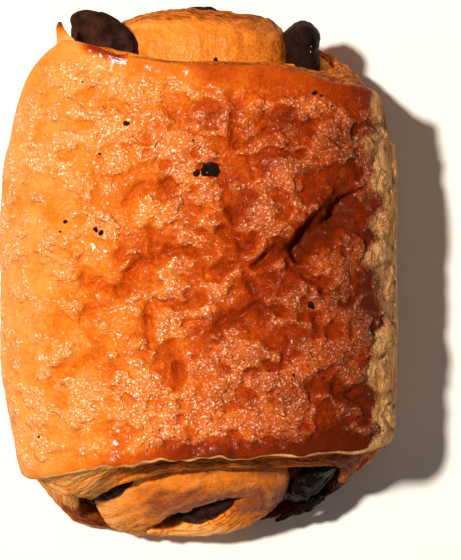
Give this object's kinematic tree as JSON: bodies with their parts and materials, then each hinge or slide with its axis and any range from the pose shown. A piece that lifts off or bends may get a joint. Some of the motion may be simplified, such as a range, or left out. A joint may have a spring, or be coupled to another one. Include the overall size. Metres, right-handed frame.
{
  "type": "pain au chocolat",
  "caption": "Baked laminated pastry: a glazed crust wrapped round an inner scroll of dough, with chocolate batons running through and showing at both ends.",
  "frame": {"origin": "middle of the pastry's length and width, on the plane of its flat base", "axes": "+Z up from the base, +Y along the roll and the batons towards the end with the two round chocolate ends, +X across the roll to the right when seen from above with +Y up"},
  "size_m": [0.0742, 0.1, 0.0423],
  "materials": {
    "baked_dough": "egg-washed baked crust, glossy and blistered on top, matt and flaky at the ends",
    "dark_chocolate": "baked dark chocolate, dull with glossy melted spots"
  },
  "bodies": {
    "root": {"dough": "baked_dough", "baton_left": "dark_chocolate", "baton_centre": "dark_chocolate", "baton_right": "dark_chocolate"}
  },
  "joints": []
}
